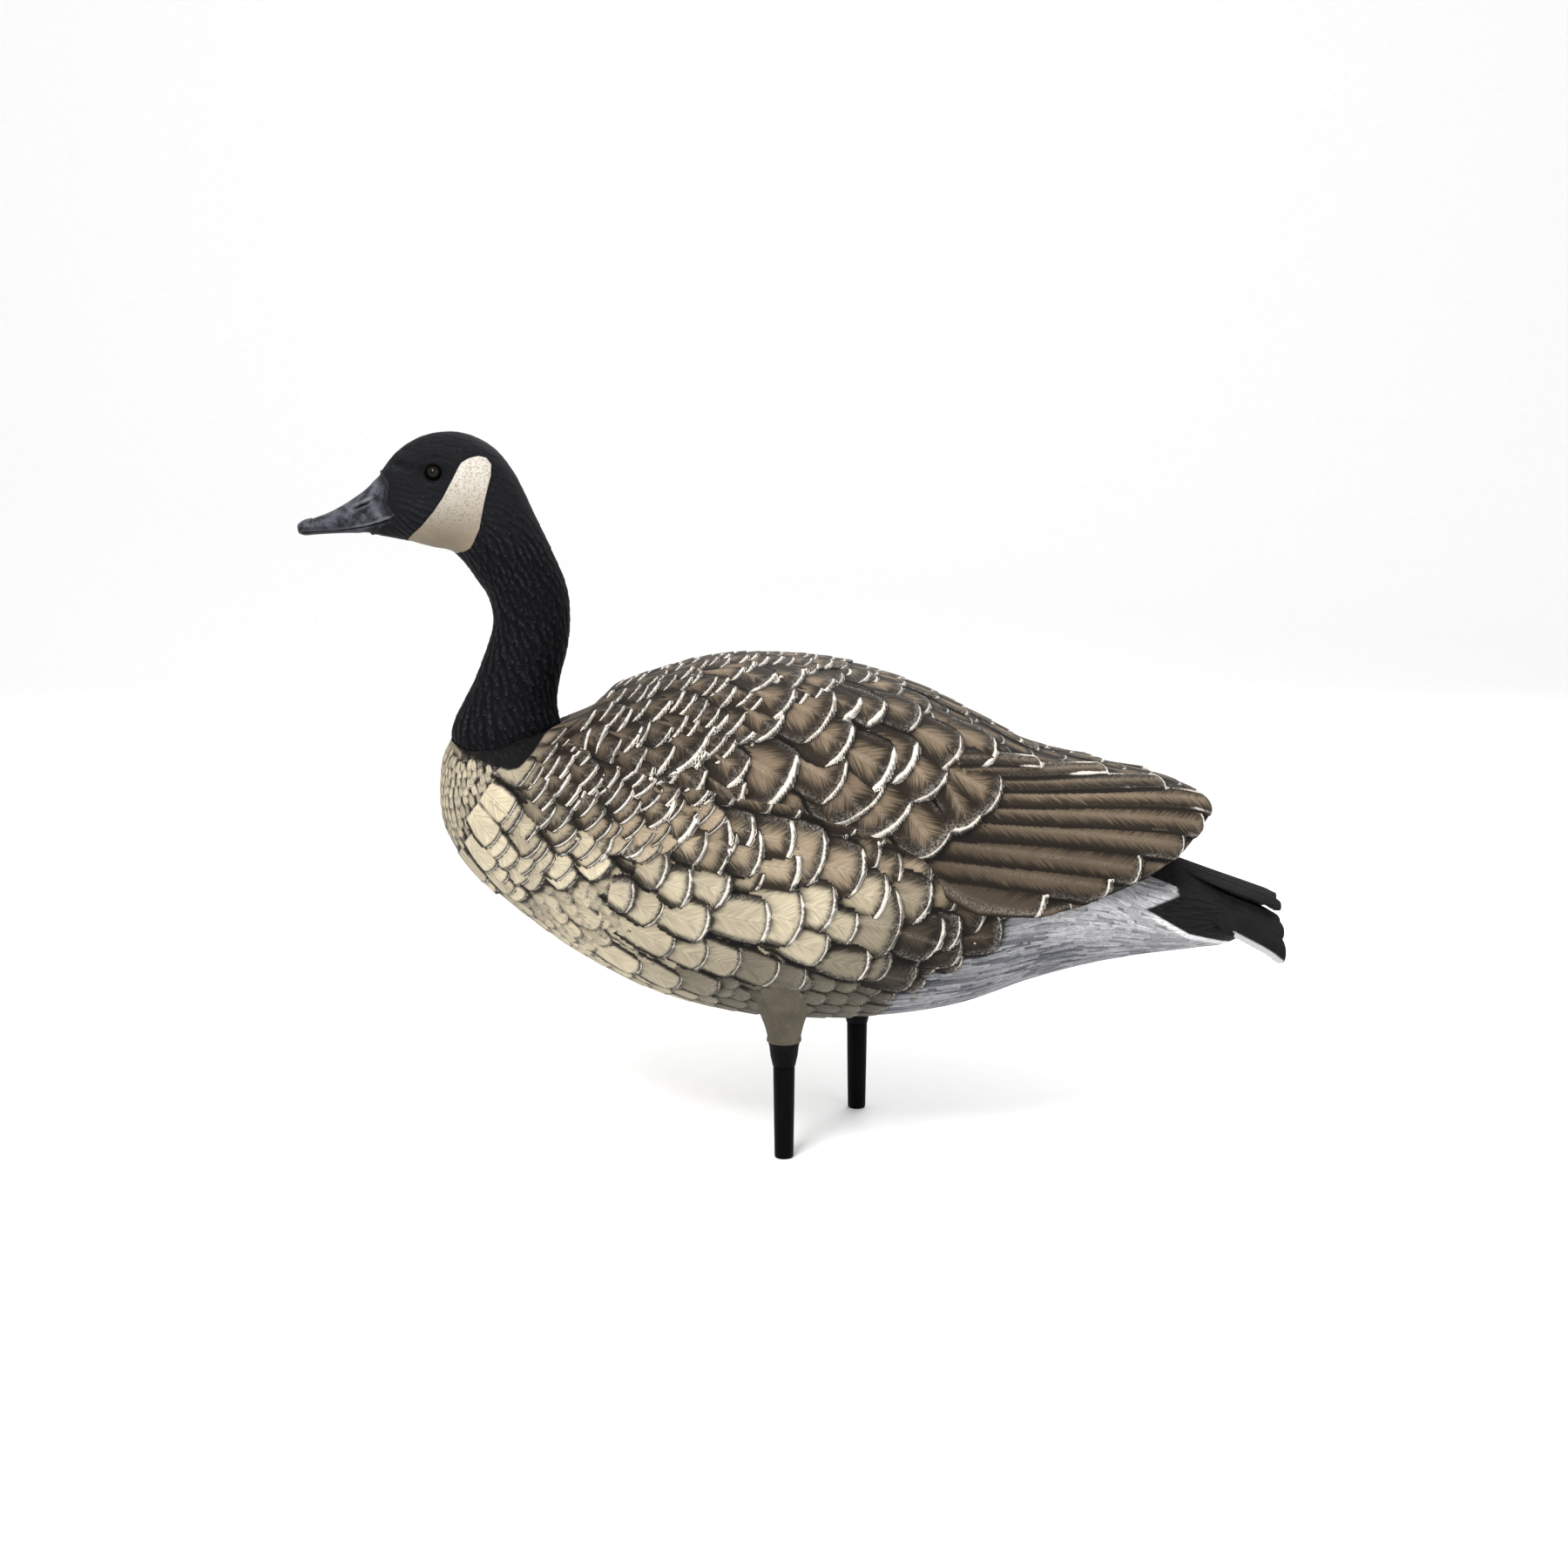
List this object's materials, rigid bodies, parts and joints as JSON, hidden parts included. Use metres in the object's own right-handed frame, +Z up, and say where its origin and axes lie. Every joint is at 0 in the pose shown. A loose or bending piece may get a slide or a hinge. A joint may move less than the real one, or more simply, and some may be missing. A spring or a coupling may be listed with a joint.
{
  "type": "goose decoy",
  "caption": "Full-body goose field decoy with a hollow feathered body, folded wings, black tail, a plug-in neck that turns, and push-in leg posts.",
  "frame": {"origin": "on the ground, midway between the lower ends of the two leg posts", "axes": "+X towards the tail, so the bill faces -X; +Y towards the goose's right; +Z up"},
  "size_m": [0.7515, 0.2482, 0.5475],
  "materials": {
    "body_paint": "hand-painted feather relief, cream, tan and grey",
    "wing_paint": "hand-painted feather relief, brown with pale tips",
    "tail_paint": "matt black, fine grooves",
    "head_paint": "matt black with a cream cheek patch",
    "eyes": "glossy dark eye",
    "fittings": "moulded black plastic",
    "posts": "semi-gloss black coated tube",
    "screws": "plated steel",
    "seals": "black rubber"
  },
  "bodies": {
    "body": {"body_shell": "body_paint", "back_shell": "wing_paint", "tail_fan": "tail_paint", "tail_screw_left": "screws", "tail_screw_right": "screws", "neck_washer": "seals"},
    "neck_seal": {"neck_oring": "seals"},
    "neck": {"neck_head": "head_paint", "neck_plug": "fittings", "left_eye": "eyes", "right_eye": "eyes"},
    "left_leg": {"left_ankle_ferrule": "fittings", "left_leg_post": "posts", "left_leg_pin": "screws", "left_leg_oring": "seals"},
    "right_leg": {"right_ankle_ferrule": "fittings", "right_leg_post": "posts", "right_leg_pin": "screws", "right_leg_oring": "seals"}
  },
  "joints": [
    {"name": "neck_lift", "type": "slide", "parent": "body", "child": "neck_seal", "axis": [0, 0, 1], "range_m": [0, 0.044]},
    {"name": "neck_turn", "type": "hinge", "parent": "neck_seal", "child": "neck", "pos_m": [-0.2435, 0, 0.285], "axis": [0, 0, 1], "continuous": true},
    {"name": "left_leg_pull", "type": "slide", "parent": "body", "child": "left_leg", "axis": [0, 0, -1], "range_m": [0, 0.052]},
    {"name": "right_leg_pull", "type": "slide", "parent": "body", "child": "right_leg", "axis": [0, 0, -1], "range_m": [0, 0.052]}
  ]
}
